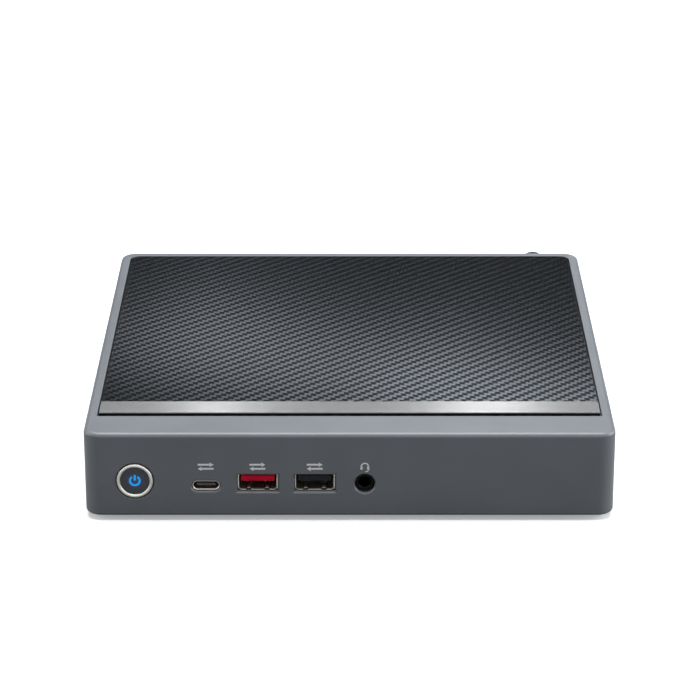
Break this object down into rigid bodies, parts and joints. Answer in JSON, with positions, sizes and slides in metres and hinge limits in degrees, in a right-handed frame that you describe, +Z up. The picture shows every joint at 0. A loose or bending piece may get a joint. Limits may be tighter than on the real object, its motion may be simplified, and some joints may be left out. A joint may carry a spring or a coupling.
{
  "type": "mini pc",
  "caption": "Flat square desktop computer: slide-off cover with inlaid woven-look top, metal trim and lit power button, over a steel tray with board, cooling, drive and sockets",
  "frame": {"origin": "Bottom centre of the overall box, thumbscrew and button ring included, on the surface that the feet stand on.", "axes": "+X is the right of the object seen from its front, +Y is its rear, -Y is its front with the power button, +Z is up."},
  "size_m": [0.174, 0.1782, 0.0315],
  "materials": {
    "cover_shell": "fine satin texture",
    "top_panel": "woven pattern under clear coat",
    "trim_strip": "brushed, anodised",
    "button_guide": "moulded",
    "screw_insert": "machined",
    "button_cap": "polished",
    "button_ring": "polished",
    "power_icon": "clear blue light guide",
    "base_tray": "powder coat",
    "rear_panel": "powder coat",
    "rear_panel_screws": "plated",
    "rubber_feet": "moulded",
    "vesa_inserts": "plated",
    "mainboard": "solder mask on laminate",
    "board_standoffs": "plated",
    "board_screws": "plated",
    "usb_c_shell": "plated",
    "usb_c_tongue": "moulded",
    "fast_usb_shell": "plated",
    "fast_usb_tongue": "moulded",
    "usb_shell": "plated",
    "usb_tongue": "moulded",
    "audio_jack": "moulded",
    "power_switch": "moulded",
    "switch_plunger": "moulded",
    "dc_jack": "moulded",
    "dc_pin": "machined",
    "hdmi_shell": "plated",
    "display_shell": "plated",
    "video_tongues": "moulded",
    "network_jack": "plated",
    "network_contacts": "machined",
    "rear_usb_shells": "plated",
    "rear_usb_tongues": "moulded",
    "processor": "solder mask on laminate",
    "cold_plate": "bare copper alloy",
    "heat_pipe": "bare copper alloy",
    "fin_stack": "mill finish",
    "cooler_screws": "plated",
    "blower_case": "moulded",
    "blower_lid": "plated",
    "blower_motor": "bare copper alloy",
    "blower_rotor": "moulded",
    "memory_sockets": "moulded",
    "memory_modules": "solder mask on laminate",
    "ssd_socket": "moulded",
    "ssd_module": "solder mask on laminate",
    "ssd_post": "plated",
    "wifi_card": "solder mask on laminate",
    "wifi_antennas": "polyimide film",
    "cell_holder": "moulded",
    "coin_cell": "plated",
    "drive_bracket": "plated",
    "drive": "mill finish",
    "drive_screws": "plated",
    "drive_socket": "moulded",
    "chokes": "moulded ferrite",
    "capacitors": "mill finish",
    "thumbscrew": "plated",
    "screw_collar": "plated"
  },
  "bodies": {
    "chassis": {"base_tray": "base_tray", "rear_panel": "rear_panel", "rear_panel_screws": "rear_panel_screws", "rubber_feet": "rubber_feet", "vesa_inserts": "vesa_inserts", "mainboard": "mainboard", "board_standoffs": "board_standoffs", "board_screws": "board_screws", "usb_c_shell": "usb_c_shell", "usb_c_tongue": "usb_c_tongue", "fast_usb_shell": "fast_usb_shell", "fast_usb_tongue": "fast_usb_tongue", "usb_shell": "usb_shell", "usb_tongue": "usb_tongue", "audio_jack": "audio_jack", "power_switch": "power_switch", "dc_jack": "dc_jack", "dc_pin": "dc_pin", "hdmi_shell": "hdmi_shell", "display_shell": "display_shell", "video_tongues": "video_tongues", "network_jack": "network_jack", "network_contacts": "network_contacts", "rear_usb_shells": "rear_usb_shells", "rear_usb_tongues": "rear_usb_tongues", "processor": "processor", "cold_plate": "cold_plate", "heat_pipe": "heat_pipe", "fin_stack": "fin_stack", "cooler_screws": "cooler_screws", "blower_case": "blower_case", "blower_lid": "blower_lid", "blower_motor": "blower_motor", "memory_sockets": "memory_sockets", "memory_modules": "memory_modules", "ssd_socket": "ssd_socket", "ssd_module": "ssd_module", "ssd_post": "ssd_post", "wifi_card": "wifi_card", "wifi_antennas": "wifi_antennas", "cell_holder": "cell_holder", "coin_cell": "coin_cell", "drive_bracket": "drive_bracket", "drive": "drive", "drive_screws": "drive_screws", "drive_socket": "drive_socket", "chokes": "chokes", "capacitors": "capacitors"},
    "cover": {"cover_shell": "cover_shell", "top_panel": "top_panel", "trim_strip": "trim_strip", "button_guide": "button_guide", "screw_insert": "screw_insert"},
    "button": {"button_cap": "button_cap", "button_ring": "button_ring", "power_icon": "power_icon"},
    "plunger": {"switch_plunger": "switch_plunger"},
    "impeller": {"blower_rotor": "blower_rotor"},
    "collar": {"screw_collar": "screw_collar"},
    "screw": {"thumbscrew": "thumbscrew"}
  },
  "joints": [
    {"name": "cover_slide", "type": "slide", "parent": "chassis", "child": "cover", "axis": [0, -1, 0], "range_m": [0, 0.176]},
    {"name": "button_press", "type": "slide", "parent": "cover", "child": "button", "axis": [0, 1, 0], "range_m": [0, 0.0006], "stiffness_N_per_m": 2500, "springref_m": -0.0002},
    {"name": "plunger_press", "type": "slide", "parent": "chassis", "child": "plunger", "axis": [0, 1, 0], "range_m": [0, 0.0006]},
    {"name": "impeller_spin", "type": "hinge", "parent": "chassis", "child": "impeller", "pos_m": [-0.05307, 0.04468, 0.0165], "axis": [0, 0, 1], "continuous": true},
    {"name": "screw_out", "type": "slide", "parent": "chassis", "child": "collar", "axis": [0, 1, 0], "range_m": [0, 0.00449]},
    {"name": "screw_turn", "type": "hinge", "parent": "collar", "child": "screw", "pos_m": [0.0703, 0.085, 0.0256], "axis": [0, 1, 0], "range_deg": [0, 3240]}
  ],
  "couplings": [
    {"joint": "plunger_press", "follows": "button_press", "ratio": 1},
    {"joint": "screw_turn", "follows": "screw_out", "rad_per_m": 12566}
  ]
}
